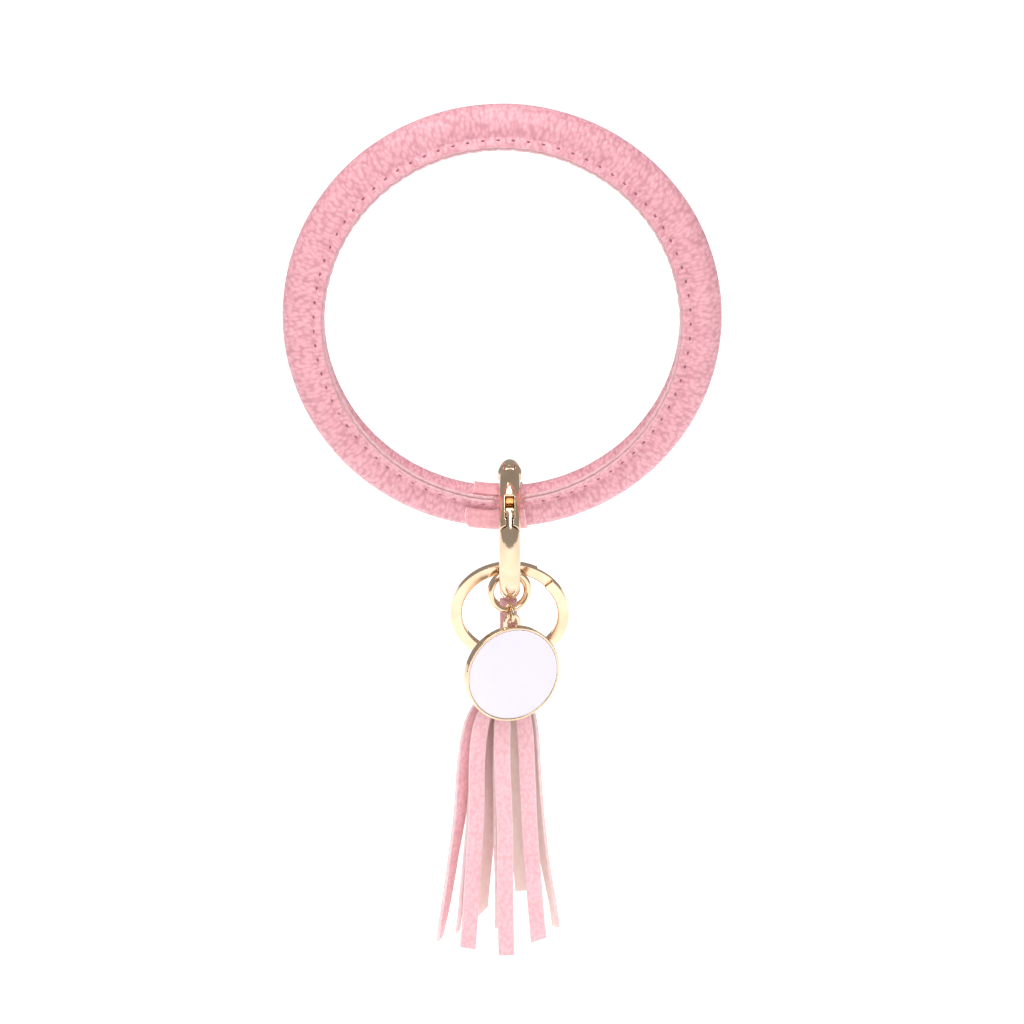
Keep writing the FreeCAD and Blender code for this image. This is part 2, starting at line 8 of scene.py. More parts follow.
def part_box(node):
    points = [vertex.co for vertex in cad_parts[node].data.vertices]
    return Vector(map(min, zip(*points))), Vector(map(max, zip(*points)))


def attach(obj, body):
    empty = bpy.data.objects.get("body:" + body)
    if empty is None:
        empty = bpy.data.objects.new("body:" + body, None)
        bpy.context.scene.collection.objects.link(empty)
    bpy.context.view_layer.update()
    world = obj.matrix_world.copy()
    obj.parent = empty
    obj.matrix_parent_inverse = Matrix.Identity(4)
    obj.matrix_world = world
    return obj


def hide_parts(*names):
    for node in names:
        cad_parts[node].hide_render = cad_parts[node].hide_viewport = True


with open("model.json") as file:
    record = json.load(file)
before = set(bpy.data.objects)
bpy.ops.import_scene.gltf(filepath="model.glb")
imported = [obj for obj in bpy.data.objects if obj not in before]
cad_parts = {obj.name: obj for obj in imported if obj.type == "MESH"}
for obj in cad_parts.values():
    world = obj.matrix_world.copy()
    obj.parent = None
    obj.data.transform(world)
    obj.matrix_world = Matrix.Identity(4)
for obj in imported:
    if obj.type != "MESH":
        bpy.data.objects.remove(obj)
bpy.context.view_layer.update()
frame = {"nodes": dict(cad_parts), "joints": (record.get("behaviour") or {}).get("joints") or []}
MM = 0.001

# ---------------------------------------------------------------- sizes, read from the CAD frame

_, cover_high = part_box("leather_cover")
TUBE = cover_high.y
BANGLE = cover_high.x - TUBE
band_low, band_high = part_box("joint_band")
strap_low, strap_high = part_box("strap_loop")
collar_low, collar_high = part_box("collar")
fringe_low, fringe_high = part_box("fringe")
JOINTS = {joint["name"]: joint for joint in frame["joints"]}


def rand(x, y=0.0, z=0.0):
    """Smooth noise from -1 to 1."""
    return noise.noise(Vector((x, y, z)))


def ease(value, start, end):
    """0 before start, 1 after end, and smooth between."""
    t = min(1.0, max(0.0, (value - start) / (end - start)))
    return t * t * (3 - 2 * t)


# ---------------------------------------------------------------- materials

def shader(name, **sockets):
    """A material with its node tree and its principled shader, whose sockets are set to the given values."""
    made = bpy.data.materials.new(name)
    made.use_nodes = True
    tree = made.node_tree
    body = tree.nodes["Principled BSDF"]
    for key, value in sockets.items():
        body.inputs[key.replace("_", " ")].default_value = value
    return made, tree, body


def add(tree, kind, **settings):
    """A node; settings that name a socket set its value, and the others are properties."""
    made = tree.nodes.new(kind)
    for key, value in settings.items():
        if key.replace("_", " ") in made.inputs:
            made.inputs[key.replace("_", " ")].default_value = value
        else:
            setattr(made, key, value)
    return made


def ramp(tree, source, stops):
    """A colour ramp over a value; stops are (position, grey or colour)."""
    made = tree.nodes.new("ShaderNodeValToRGB")
    for index, (position, colour) in enumerate(stops):
        if index < 2:
            stop = made.color_ramp.elements[index]
            stop.position = position
        else:
            stop = made.color_ramp.elements.new(position)
        rgb = (colour,) * 3 if isinstance(colour, float) else colour
        stop.color = (*rgb, 1)
    tree.links.new(source, made.inputs[0])
    return made.outputs[0]


def bump(tree, height, depth, strength=1.0, under=None):
    """A bump of that depth in metres, on top of another one."""
    made = add(tree, "ShaderNodeBump", Strength=strength, Distance=depth)
    tree.links.new(height, made.inputs["Height"])
    if under is not None:
        tree.links.new(under, made.inputs["Normal"])
    return made.outputs[0]


def coordinates(tree, scale, source="UV"):
    """Texture coordinates, in millimetres for UV, stretched by a scale."""
    where = add(tree, "ShaderNodeTexCoord")
    mapping = add(tree, "ShaderNodeMapping", Scale=scale)
    tree.links.new(where.outputs[source], mapping.inputs["Vector"])
    return mapping.outputs[0]


def warped(tree, vector, scale, amount):
    """The coordinates, pushed about by noise so that a pattern isn't regular."""
    push = add(tree, "ShaderNodeTexNoise", Scale=scale, Detail=2.0)
    tree.links.new(vector, push.inputs["Vector"])
    mix = add(tree, "ShaderNodeVectorMath", operation="MULTIPLY_ADD")
    mix.inputs[1].default_value = (amount,) * 3
    tree.links.new(push.outputs["Color"], mix.inputs[0])
    tree.links.new(vector, mix.inputs[2])
    return mix.outputs[0]


def leather(name, deep, base, light, stretch=(0.95, 0.6, 1.0), depth=0.00011, rough=0.42):
    """Pebbled leather: grains with dark valleys, longer creases and a fine pore, on UV millimetres."""
    made, tree, body = shader(name, Roughness=rough, Specular_IOR_Level=0.45)
    place = warped(tree, coordinates(tree, stretch), 0.9, 0.7)
    grain = add(tree, "ShaderNodeTexVoronoi", feature="SMOOTH_F1", Scale=1.35, Smoothness=0.35)
    crease = add(tree, "ShaderNodeTexVoronoi", feature="DISTANCE_TO_EDGE", Scale=0.55)
    pore = add(tree, "ShaderNodeTexNoise", Scale=7.0, Detail=4.0, Roughness=0.6)
    cloud = add(tree, "ShaderNodeTexNoise", Scale=0.22, Detail=3.0)
    for texture in (grain, crease, pore, cloud):
        tree.links.new(place, texture.inputs["Vector"])
    domes = ramp(tree, grain.outputs["Distance"], [(0.05, 1.0), (0.75, 0.0)])
    lines = ramp(tree, crease.outputs["Distance"], [(0.0, 0.0), (0.09, 1.0)])
    normal = bump(tree, pore.outputs["Fac"], depth * 0.3, 0.6)
    normal = bump(tree, domes, depth, 0.8, normal)
    normal = bump(tree, lines, depth * 0.5, 0.35, normal)
    tree.links.new(normal, body.inputs["Normal"])
    shade = ramp(tree, domes, [(0.0, deep), (0.45, base), (1.0, light)])
    tone = ramp(tree, cloud.outputs["Fac"], [(0.3, deep), (0.6, base)])
    blend = add(tree, "ShaderNodeMix", data_type="RGBA")
    blend.inputs[0].default_value = 0.28
    tree.links.new(shade, blend.inputs[6])
    tree.links.new(tone, blend.inputs[7])
    tree.links.new(blend.outputs[2], body.inputs["Base Color"])
    tree.links.new(ramp(tree, domes, [(0.0, rough + 0.16), (1.0, rough - 0.05)]), body.inputs["Roughness"])
    return made


def fibrous(name, low, high, stretch, depth=0.00006, rough=0.75):
    """Raw cut edge or split back of leather: short matted fibres."""
    made, tree, body = shader(name, Roughness=rough, Specular_IOR_Level=0.25)
    place = warped(tree, coordinates(tree, stretch), 2.0, 0.5)
    fibre = add(tree, "ShaderNodeTexNoise", Scale=4.5, Detail=6.0, Roughness=0.7)
    cloud = add(tree, "ShaderNodeTexNoise", Scale=0.5, Detail=3.0)
    for texture in (fibre, cloud):
        tree.links.new(place, texture.inputs["Vector"])
    tree.links.new(bump(tree, fibre.outputs["Fac"], depth), body.inputs["Normal"])
    shade = ramp(tree, fibre.outputs["Fac"], [(0.3, low), (0.65, high)])
    tone = ramp(tree, cloud.outputs["Fac"], [(0.35, low), (0.6, high)])
    blend = add(tree, "ShaderNodeMix", data_type="RGBA")
    blend.inputs[0].default_value = 0.5
    tree.links.new(shade, blend.inputs[6])
    tree.links.new(tone, blend.inputs[7])
    tree.links.new(blend.outputs[2], body.inputs["Base Color"])
    return made


def metal(name, dark, bright, rough):
    """Plated metal: faint hairlines, a slightly uneven polish and a hint of tone."""
    made, tree, body = shader(name, Metallic=1.0, Roughness=rough)
    place = coordinates(tree, (1.0, 1.0, 1.0), "Object")
    cloud = add(tree, "ShaderNodeTexNoise", Scale=220.0, Detail=3.0)
    lines = add(tree, "ShaderNodeTexNoise", Scale=1560.0, Detail=6.0, Roughness=0.7)
    for texture in (cloud, lines):
        tree.links.new(place, texture.inputs["Vector"])
    tree.links.new(ramp(tree, cloud.outputs["Fac"], [(0.35, dark), (0.6, bright)]), body.inputs["Base Color"])
    tree.links.new(ramp(tree, cloud.outputs["Fac"], [(0.3, rough * 0.75), (0.7, rough * 1.4)]),
                   body.inputs["Roughness"])
    normal = bump(tree, cloud.outputs["Fac"], 0.00003, 0.35)
    tree.links.new(bump(tree, lines.outputs["Fac"], 0.000004, 0.4, normal), body.inputs["Normal"])
    return made


def twisted(name, low, high):
    """Sewing thread: plies that wind round the length, on UV millimetres."""
    made, tree, body = shader(name, Roughness=0.65)
    place = coordinates(tree, (1.0, 1.0, 1.0))
    plies = add(tree, "ShaderNodeTexWave", Scale=1.6, Distortion=0.6, Detail=2.0, bands_direction="DIAGONAL")
    tree.links.new(place, plies.inputs["Vector"])
    tree.links.new(ramp(tree, plies.outputs["Fac"], [(0.2, low), (0.8, high)]), body.inputs["Base Color"])
    tree.links.new(bump(tree, plies.outputs["Fac"], 0.00005), body.inputs["Normal"])
    return made


def enamel_paint(name, low, high):
    """Glossy poured enamel: a nearly even tone, a slow ripple and a clear surface."""
    made, tree, body = shader(name, Roughness=0.16, Coat_Weight=0.6, Coat_Roughness=0.05)
    place = coordinates(tree, (1.0, 1.0, 1.0), "Object")
    cloud = add(tree, "ShaderNodeTexNoise", Scale=90.0, Detail=2.0)
    speck = add(tree, "ShaderNodeTexNoise", Scale=1400.0, Detail=2.0)
    for texture in (cloud, speck):
        tree.links.new(place, texture.inputs["Vector"])
    tree.links.new(ramp(tree, cloud.outputs["Fac"], [(0.3, low), (0.7, high)]), body.inputs["Base Color"])
    normal = bump(tree, cloud.outputs["Fac"], 0.00004, 0.3)
    tree.links.new(bump(tree, speck.outputs["Fac"], 0.000004, 0.3, normal), body.inputs["Normal"])
    return made


def plastic(name, low, high):
    """Plain extruded plastic with faint flow lines."""
    made, tree, body = shader(name, Roughness=0.5)
    place = coordinates(tree, (1.0, 1.0, 1.0), "Object")
    flow = add(tree, "ShaderNodeTexNoise", Scale=320.0, Detail=4.0)
    tree.links.new(place, flow.inputs["Vector"])
    tree.links.new(ramp(tree, flow.outputs["Fac"], [(0.3, low), (0.7, high)]), body.inputs["Base Color"])
    tree.links.new(bump(tree, flow.outputs["Fac"], 0.00003), body.inputs["Normal"])
    return made


PINK = leather("cover_leather", (0.62, 0.26, 0.31), (0.85, 0.41, 0.465), (0.93, 0.52, 0.575),
               stretch=(1.0, 0.55, 1.0), depth=0.00019, rough=0.36)
PINK_BAND = leather("band_leather", (0.78, 0.33, 0.37), (0.87, 0.42, 0.46), (0.92, 0.48, 0.53),
                    stretch=(0.8, 0.8, 1.0), depth=0.00008)
PINK_STRAND = leather("tassel_leather", (0.84, 0.43, 0.48), (0.93, 0.54, 0.59), (0.96, 0.62, 0.67),
                      stretch=(0.75, 0.95, 1.0), depth=0.00008, rough=0.46)
EDGE = fibrous("leather_cut_edge", (0.64, 0.35, 0.38), (0.86, 0.56, 0.59), (1.6, 1.6, 1.0))
PALE_EDGE = fibrous("tassel_cut_edge", (0.86, 0.58, 0.60), (0.95, 0.76, 0.76), (1.6, 1.6, 1.0))
BACK = fibrous("leather_back", (0.88, 0.68, 0.63), (0.95, 0.81, 0.76), (1.0, 1.0, 1.0))
# Dark seam thread: partly the thread's own colour, partly painted shade of the needle holes that the short
# runs sit on.
THREAD_AND_HOLE_SHADE = twisted("seam_thread", (0.26, 0.08, 0.11), (0.42, 0.15, 0.19))
GOLD = metal("gold_plate", (0.74, 0.54, 0.37), (0.82, 0.62, 0.44), 0.10)
STEEL = metal("spring_steel", (0.50, 0.50, 0.50), (0.66, 0.66, 0.65), 0.25)
ENAMEL = enamel_paint("disc_enamel", (0.80, 0.755, 0.885), (0.83, 0.785, 0.905))
CORE = plastic("core_plastic", (0.70, 0.69, 0.65), (0.80, 0.79, 0.76))


# ---------------------------------------------------------------- meshes

def skin(name, rings, materials, closed=False, wrap=True, pick=None, origin_uv=(0.0, 0.0)):
    """A mesh through rings of equally many points. pick(ring, side) gives a face's material number."""
    count = len(rings[0])
    points = [tuple(p) for ring in rings for p in ring]
    faces, uvs, numbers = [], [], []
    middle = [sum(ring, Vector()) / count for ring in rings]
    along = [origin_uv[0]]
    spans = len(rings) if closed else len(rings) - 1
    for index in range(spans):
        step = (middle[(index + 1) % len(rings)] - middle[index]).length
        if step < 1e-6:
            step = (rings[(index + 1) % len(rings)][0] - rings[index][0]).length
        along.append(along[-1] + step / MM)
    across = []
    for ring in rings:
        row = [origin_uv[1]]
        for index in range(count):
            row.append(row[-1] + (ring[(index + 1) % count] - ring[index]).length / MM)
        across.append(row)
    sides = count if wrap else count - 1
    for index in range(spans):
        after = (index + 1) % len(rings)
        for side in range(sides):
            last = (side + 1) % count
            faces.append((index * count + side, index * count + last,
                          after * count + last, after * count + side))
            uvs += [(along[index], across[index][side]), (along[index], across[index][side + 1]),
                    (along[index + 1], across[after][side + 1]), (along[index + 1], across[after][side])]
            numbers.append(pick(index, side) if pick else 0)
    if wrap and not closed:
        for ring_number, order in ((0, range(count - 1, -1, -1)), (len(rings) - 1, range(count))):
            faces.append(tuple(ring_number * count + side for side in order))
            base = rings[ring_number][0]
            for side in order:
                gap = rings[ring_number][side] - base
                uvs.append((gap.x / MM + gap.y / MM, gap.z / MM + gap.y / MM))
            numbers.append(pick(-1, 0) if pick else 0)
    mesh = bpy.data.meshes.new(name)
    mesh.from_pydata(points, [], faces)
    layer = mesh.uv_layers.new(name="UVMap")
    layer.data.foreach_set("uv", [value for uv in uvs for value in uv])
    for material in materials:
        mesh.materials.append(material)
    mesh.polygons.foreach_set("material_index", numbers)
    mesh.polygons.foreach_set("use_smooth", [True] * len(faces))
    mesh.validate()
    mesh.update()
    made = bpy.data.objects.new(name, mesh)
    bpy.context.scene.collection.objects.link(made)
    return made


def joined(name, parts):
    """Several meshes made one object."""
    bpy.ops.object.select_all(action="DESELECT")
    for part in parts:
        part.select_set(True)
    bpy.context.view_layer.objects.active = parts[0]
    bpy.ops.object.join()
    parts[0].name = name
    parts[0].data.name = name
    return parts[0]


def outward(made):
    """Turns every face to look out of its solid."""
    bpy.ops.object.select_all(action="DESELECT")
    made.select_set(True)
    bpy.context.view_layer.objects.active = made
    bpy.ops.object.mode_set(mode="EDIT")
    bpy.ops.mesh.select_all(action="SELECT")
    bpy.ops.mesh.normals_make_consistent(inside=False)
    bpy.ops.object.mode_set(mode="OBJECT")
    return made


def finished(made, body, slot, *nodes):
    """The piece rides on its body and stands for CAD nodes; slot is not used."""
    outward(made)
    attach(made, body)
    if nodes:
        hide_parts(*nodes)
    return made


def flat_section(half_wide, half_thick, across, corner=0.18):
    """Outline of a round-cornered strip as (sideways, up) in metres: top from left to right, then bottom."""
    radius = min(half_thick * 0.9, corner * MM)
    inner = half_wide - radius
    top = [(-inner + 2 * inner * k / (across - 1), half_thick) for k in range(across)]
    right = [(inner + radius * math.sin(math.radians(a)),
              half_thick - radius + radius * math.cos(math.radians(a))) for a in (30, 60, 90)]
    right += [(x, -y) for x, y in reversed(right)]
    bottom = [(x, -y) for x, y in reversed(top)]
    left = [(-x, y) for x, y in reversed(right)]
    return top + right + bottom + left


# ---------------------------------------------------------------- the bangle's leather and its stitched fin

ROOT = math.radians(62.0)
MID = TUBE - 0.45 * MM
FIN_HALF = 0.78 * MM
FIN_REACH = 2.45 * MM
STITCH = 3.1 * MM
SEAM_AT = 0.34
SEAM_RADIUS = BANGLE - MID * math.cos(ROOT) - 1.3 * MM * math.cos(math.radians(42.0))
STITCHES = round(2 * math.pi * SEAM_RADIUS / STITCH)
STEPS = STITCHES * 10


def on_bangle(theta, inward, front):
    """The point at that angle round the bangle, at an offset from the tube's middle line."""
    radius = BANGLE - inward
    return Vector((radius * math.cos(theta), -front, radius * math.sin(theta)))


def fin_lean(theta):
    """How far the fin leans from straight inward towards the front."""
    up = max(0.0, math.sin(theta))
    down = max(0.0, -math.sin(theta))
    wave = 2.5 * rand(4.0 * math.cos(theta), 4.0 * math.sin(theta), 3.1)
    return math.radians(23.0 + 20.0 * up * up + 30.0 * down * down + wave)


def fin_share(theta):
    """1 along the seam, and almost 0 where the gate ring swings over the leather."""
    if math.sin(theta) > 0:
        return 1.0
    x = BANGLE * math.cos(theta)
    gone = ease(x, -2.1 * MM, -1.3 * MM) * (1 - ease(x, 4.5 * MM, 5.3 * MM))
    return 1.0 - gone


def fin_frame(theta):
    """The fin's root, its direction and its thickness direction in the tube's section."""
    lean = fin_lean(theta)
    root = Vector((MID * math.cos(ROOT), MID * math.sin(ROOT)))
    return root, Vector((math.cos(lean), math.sin(lean))), Vector((-math.sin(lean), math.cos(lean)))


def out_of_tube(root, ahead, aside, lift):
    """The reach at which a line of the fin leaves the tube's surface."""
    start = root + aside * lift
    b = start.dot(ahead)
    return -b + math.sqrt(max(0.0, b * b + TUBE * TUBE - start.length_squared))


def near_hole(theta):
    """1 at a stitch and 0 between two."""
    place = theta * STITCHES / (2 * math.pi)
    off = abs(place - round(place)) * STITCH
    return math.exp(-(off / (0.42 * MM)) ** 2)


def seam_dip(t):
    """How much a stitch pulls the fin's face in, at a share t of the way out along it."""
    return math.exp(-((t - SEAM_AT) / 0.24) ** 2)


def tube_surface(theta, angle):
    """The tube's radius, a little uneven as leather over a core is."""
    slow = rand(5 * math.cos(theta), 5 * math.sin(theta), 1.3 * math.sin(angle))
    quick = rand(16 * math.cos(theta), 16 * math.sin(theta), 2.6 * math.cos(angle) + 7)
    return TUBE * (1 + 0.009 * slow + 0.007 * quick)


ROUND = 84
FACE = 7


def cover_ring(theta):
    """One section of the leather: round the tube, out along the fin's front, over its two edges and back."""
    share = fin_share(theta)
    hole = near_hole(theta) * share
    root, ahead, aside = fin_frame(theta)
    splay = math.exp(-((math.degrees(theta) % 360 - 208.0) / 3.6) ** 2)
    half = FIN_HALF * (0.35 + 0.65 * share)
    front_out = out_of_tube(root, ahead, aside, half)
    back_out = out_of_tube(root, ahead, aside, -half)
    ripple = 0.10 * MM * rand(9 * math.cos(theta), 9 * math.sin(theta), 5.5)
    tip = FIN_REACH + ripple - 0.16 * MM * hole
    front_tip = front_out + max(0.12 * MM, tip - front_out) * share + 0.05 * MM
    back_tip = back_out + max(0.12 * MM, tip + 0.22 * MM - back_out) * share + 0.05 * MM
    gap = (0.05 + 0.42 * splay) * MM * share
    groove = (0.45 + 0.7 * splay) * MM * share

    def point(reach, lift):
        return root + ahead * reach + aside * lift

    start = point(back_out, -half)
    end = point(front_out, half)
    first = math.atan2(start.y, start.x)
    last = math.atan2(end.y, end.x) - 2 * math.pi
    section = []
    for index in range(ROUND):
        angle = first + (last - first) * index / (ROUND - 1)
        radius = tube_surface(theta, angle)
        pinch = math.exp(-((angle - last) / 0.16) ** 2) + math.exp(-((angle - first) / 0.16) ** 2)
        radius += 0.10 * MM * pinch * share - 0.06 * MM * hole * pinch
        section.append(Vector((math.cos(angle), math.sin(angle))) * radius)
    rise = splay * gap * 0.6
    back_rise = splay * gap * 0.3
    for index in range(1, FACE + 1):
        t = index / (FACE + 1)
        reach = front_out + (front_tip - 0.22 * MM - front_out) * t
        swell = 0.10 * MM * math.sin(math.pi * t) - 0.38 * MM * hole * seam_dip(t)
        section.append(point(reach, half + (swell + 0.25 * MM * (1 - t) ** 3) * share + rise * t))
    section += [
        point(front_tip - 0.10 * MM, half - 0.03 * MM + rise),
        point(front_tip - 0.02 * MM, half - 0.12 * MM + rise),
        point(front_tip, (half + gap) / 2 + rise),
        point(front_tip - 0.05 * MM, gap + 0.06 * MM + rise * 0.5),
        point(front_tip - 0.2 * MM * share, gap * 0.8 + 0.02 * MM),
        point(front_tip - groove - 0.02 * MM, 0.01 * MM),
        point(front_tip - 0.2 * MM * share + 0.02 * MM, -gap * 0.8 - 0.02 * MM),
        point(back_tip - 0.05 * MM, -gap - 0.06 * MM),
        point(back_tip, -(half + gap) / 2 - back_rise),
        point(back_tip - 0.02 * MM, -half + 0.12 * MM - back_rise),
        point(back_tip - 0.10 * MM, -half + 0.03 * MM - back_rise),
    ]
    for index in range(FACE, 0, -1):
        t = index / (FACE + 1)
        reach = back_out + (back_tip - 0.22 * MM - back_out) * t
        swell = 0.08 * MM * math.sin(math.pi * t) - 0.34 * MM * hole * seam_dip(t)
        section.append(point(reach, -half - (swell + 0.22 * MM * (1 - t) ** 3) * share - back_rise * t))
    return [on_bangle(theta, p.x, p.y) for p in section]


EDGE_FIRST = ROUND + FACE + 1
EDGE_LAST = EDGE_FIRST + 8
cover = skin(
    "bangle_leather",
    [cover_ring(2 * math.pi * step / STEPS) for step in range(STEPS)],
    [PINK, EDGE],
    closed=True,
    pick=lambda ring, side: 1 if EDGE_FIRST <= side < EDGE_LAST else 0,
)
finished(cover, "bangle", "cover_leather", "leather_cover")


def stitch(theta, side):
    """One run of dark thread in its dent, centred on a needle hole so that it also stands for the hole's
    painted shade, sunk at both ends, on the fin's front (1) or back (-1).
    """
    rings = []
    span = 0.38 * 2 * math.pi / STITCHES
    for index in range(9):
        t = index / 8
        angle = theta + span * (t - 0.5)
        root, ahead, aside = fin_frame(angle)
        out = out_of_tube(root, ahead, aside, side * FIN_HALF)
        reach = out + (FIN_REACH - out) * SEAM_AT
        sink = 0.30 * MM * (2 * abs(t - 0.5)) ** 3
        lift = FIN_HALF - 0.10 * MM - sink
        radius = 0.20 * MM * (1 - 0.35 * (2 * abs(t - 0.5)) ** 4)
        centre = root + ahead * reach + aside * side * lift
        ring = []
        for turn in range(8):
            around = 2 * math.pi * turn / 8
            offset = ahead * math.cos(around) * radius + aside * math.sin(around) * radius
            ring.append(on_bangle(angle, (centre + offset).x, (centre + offset).y))
        rings.append(ring)
    return skin("stitch", rings, [THREAD_AND_HOLE_SHADE])


# Short dark runs centred on the needle holes: thread, and painted shade of the holes.
runs = []
for number in range(STITCHES):
    middle = 2 * math.pi * number / STITCHES
    ends = [middle + side * math.pi / STITCHES for side in (-1, 0, 1)]
    if min(fin_share(angle) for angle in ends) > 0.98:
        runs += [stitch(middle, side) for side in (1, -1)]
threads = joined("bangle_stitches", runs)
finished(threads, "bangle", "seam_thread", "seam_thread")


# ---------------------------------------------------------------- the band over the bangle's joint

BAND_OUT = 5.0 * MM
BAND_IN = 4.46 * MM
BAND_ACROSS = 22


def band_ring(angle):
    """The band's section across its width at that angle round the tube, a little slanted at its left end."""
    turned = math.degrees(angle)
    left = band_low.x - 0.2 * MM + 1.5 * MM * ease(turned, 95.0, 170.0)
    left -= 0.5 * MM * ease(turned, 250.0, 380.0)
    right = band_high.x - 0.15 * MM * rand(turned / 30, 2.0)
    lift = 0.05 * MM * rand(turned / 25, 8.0)
    fold = 0.10 * MM * math.exp(-((turned - 88.0) / 5.0) ** 2)
    fold -= 0.14 * MM * math.exp(-((turned - 101.0) / 3.0) ** 2)
    ring = []
    half = (BAND_OUT - BAND_IN) / 2
    outline = flat_section((right - left) / 2, half, BAND_ACROSS, 0.2)
    for sideways, up in outline:
        x = (left + right) / 2 + sideways
        edge = ease(abs(sideways), (right - left) / 2 - 1.0 * MM, (right - left) / 2)
        wrinkle = 0.05 * MM * rand(x / MM * 0.9, turned / 9) + 0.04 * MM * rand(x / MM * 0.4, turned / 20, 4)
        radius = (BAND_OUT + BAND_IN) / 2 + up - 0.10 * MM
        if up > 0:
            radius += fold + lift + wrinkle * (1 - edge) + 0.07 * MM * edge
        theta = -math.pi / 2 + x / BANGLE
        ring.append(on_bangle(theta, radius * math.cos(angle), radius * math.sin(angle)))
    return ring


BAND_START = 82.0
BAND_END = 360.0 + 42.0
band = skin(
    "joint_band_leather",
    [band_ring(math.radians(BAND_START + (BAND_END - BAND_START) * step / 90)) for step in range(91)],
    [PINK_BAND, PALE_EDGE],
    pick=lambda ring, side: 0 if 0 <= side < BAND_ACROSS - 1 and ring >= 0 else 1,
)
finished(band, "bangle", "cover_leather", "joint_band")

# ---------------------------------------------------------------- metal rings bent from wire


def wire_loop(name, centre, side, up, radius, wire, cut_angle, cut=1.2, offset=0.0):
    """A ring of round wire with the hairline cut where it was closed."""
    rings = []
    normal = side.cross(up)
    for index in range(97):
        angle = math.radians(cut_angle + cut + (360 - 2 * cut) * index / 96)
        outward_dir = side * math.cos(angle) + up * math.sin(angle)
        shift = normal * offset * (index / 96 - 0.5)
        middle = centre + outward_dir * radius + shift
        end = min(index, 96 - index)
        taper = 0.9 if end == 0 else 1.0
        rings.append([middle + (outward_dir * math.cos(a) + normal * math.sin(a)) * wire * taper
                      for a in (2 * math.pi * turn / 20 for turn in range(20))])
    return skin(name, rings, [GOLD])


def torus_sizes(node):
    """(centre, outer radius) of a CAD torus that stands upright."""
    low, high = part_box(node)
    centre = (low + high) / 2
    outer = (high.z - low.z) / 2
    return centre, outer


UP = Vector((0, 0, 1))
JUMP_WIRE = 0.62 * MM
turned_side = Vector(JOINTS["disc_link_swing"]["axis"])
centre, outer = torus_sizes("disc_jump_ring")
disc_jump = wire_loop("disc_jump_wire", centre, turned_side, UP, outer - JUMP_WIRE, JUMP_WIRE, 62.0, 1.2,
                      0.1 * MM)
finished(disc_jump, "disc_jump_ring", "gold_plate", "disc_jump_ring")
centre, outer = torus_sizes("tassel_jump_ring")
tassel_jump = wire_loop("tassel_jump_wire", centre, Vector((1, 0, 0)), UP, outer - JUMP_WIRE, JUMP_WIRE,
                        118.0, 1.2, 0.1 * MM)
finished(tassel_jump, "tassel_jump_ring", "gold_plate", "tassel_jump_ring")

# ---------------------------------------------------------------- the enamel in the disc

disc_low, disc_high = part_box("disc_enamel")
disc_centre = (disc_low + disc_high) / 2
facing = -Vector(JOINTS["disc_swing"]["axis"])
facing.normalize()
disc_side = UP.cross(facing)
disc_side.normalize()
enamel_radius = (disc_high.z - disc_low.z) / 2
rings = []
for reach, height in ((1.0, -0.35), (1.0, 0.30), (0.997, 0.36), (0.985, 0.33), (0.965, 0.31), (0.93, 0.33),
                      (0.85, 0.36), (0.7, 0.40), (0.5, 0.43), (0.3, 0.45), (0.1, 0.455), (0.005, 0.455)):
    rings.append([disc_centre + facing * height * MM
                  + (disc_side * math.cos(a) + UP * math.sin(a)) * enamel_radius * reach
                  for a in (2 * math.pi * turn / 128 for turn in range(128))])
finished(skin("disc_enamel_fill", rings, [ENAMEL]), "disc", "disc_enamel", "disc_enamel")

# ---------------------------------------------------------------- the strap, the collar and the fringe

STRAP_THICK = 0.7 * MM
STRIP_ACROSS = 10
ROLL_ACROSS = 6
STRIP_EDGE_FACES = 7
strap_x = (strap_low.x + strap_high.x) / 2
strap_half = (strap_high.x - strap_low.x) / 2
strap_y = (strap_low.y + strap_high.y) / 2
bend_radius = (strap_high.y - strap_low.y) / 2 - STRAP_THICK / 2
bend_z = strap_high.z - bend_radius - STRAP_THICK / 2


def strap_ring(place, away, wide, number):
    """The strap's section at a point of its middle line; away is the side that shows."""
    outline = flat_section(strap_half * wide, STRAP_THICK / 2, STRIP_ACROSS, 0.16)
    cup = 0.10 * MM
    ring = []
    for sideways, up in outline:
        bow = cup * (sideways / strap_half) ** 2 + 0.03 * MM * rand(number * 0.35, sideways / MM)
        ring.append(place + Vector((sideways, 0, 0)) + away * (up - bow))
    return ring


rings = []
leg = bend_z - strap_low.z
for index in range(18):
    t = index / 17
    sway = 0.10 * MM * math.sin(math.pi * t)
    place = Vector((strap_x, strap_y - bend_radius - sway, strap_low.z + leg * t))
    rings.append(strap_ring(place, Vector((0, -1, 0)), 1.0 - 0.03 * math.sin(math.pi * t), index))
for index in range(1, 16):
    a = math.pi * index / 16
    away = Vector((0, -math.cos(a), math.sin(a)))
    rings.append(strap_ring(Vector((strap_x, strap_y, bend_z)) + away * bend_radius, away, 1.0, 18 + index))
for index in range(18):
    t = index / 17
    place = Vector((strap_x, strap_y + bend_radius, bend_z - leg * t))
    rings.append(strap_ring(place, Vector((0, 1, 0)), 1.0, 34 + index))


def strip_face(across):
    """Picks grain for a strip's outside, raw back for its inside, and pale edges for its ends and sides."""
    grain = across - 1
    back_start = grain + STRIP_EDGE_FACES
    back_end = back_start + grain - 1

    def pick(ring, side):
        if ring < 0:
            return 2
        if side < grain:
            return 0
        return 1 if back_start <= side < back_end else 2

    return pick


strap = skin("tassel_strap", rings, [PINK_STRAND, BACK, PALE_EDGE], pick=strip_face(STRIP_ACROSS))
finished(strap, "tassel", "tassel_leather", "strap_loop")

